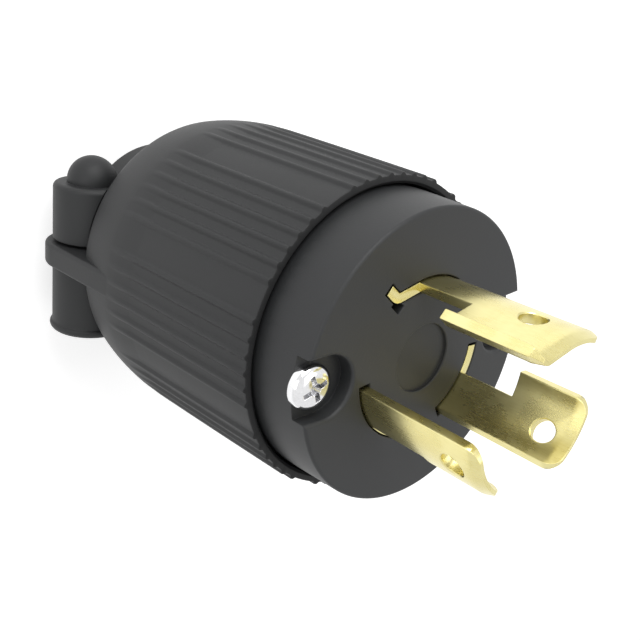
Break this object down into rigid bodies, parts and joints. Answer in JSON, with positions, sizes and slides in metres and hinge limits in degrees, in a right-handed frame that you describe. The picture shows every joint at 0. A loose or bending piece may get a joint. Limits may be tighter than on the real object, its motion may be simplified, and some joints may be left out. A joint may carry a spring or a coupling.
{
  "type": "locking power plug",
  "caption": "Round black locking power plug with curved brass blades, a ribbed shell and a screwed cord clamp.",
  "frame": {"origin": "on the plug's axis at the rear end of the cord clamp, which stands on Z = 0", "axes": "+Z along the plug's axis towards the blades, +Y to the side of the ground blade, +X to the side of the right-hand line blade"},
  "size_m": [0.0384, 0.0374, 0.0692],
  "materials": {
    "black_nylon": "satin moulded nylon",
    "inner_nylon": "plain moulded nylon",
    "brass": "stamped bright brass",
    "screw_brass": "turned brass",
    "green_screw": "green plated steel",
    "bright_screw": "bright plated steel",
    "plain_steel": "zinc plated steel"
  },
  "bodies": {
    "root": {"front_body": "black_nylon", "rear_shell": "black_nylon", "clamp_saddle": "black_nylon", "line_blade_right": "brass", "line_blade_left": "brass", "ground_blade": "brass", "terminal_block": "inner_nylon", "terminal_screw_right": "screw_brass", "terminal_screw_left": "screw_brass", "ground_screw": "green_screw", "clamp_plate_right": "brass", "clamp_plate_left": "brass", "ground_clamp_plate": "brass", "assembly_screw_right": "bright_screw", "assembly_screw_left": "bright_screw", "assembly_nut_right": "plain_steel", "assembly_nut_left": "plain_steel", "clamp_screw_right": "plain_steel", "clamp_screw_left": "plain_steel", "clamp_nut_right": "plain_steel", "clamp_nut_left": "plain_steel"}
  },
  "joints": []
}
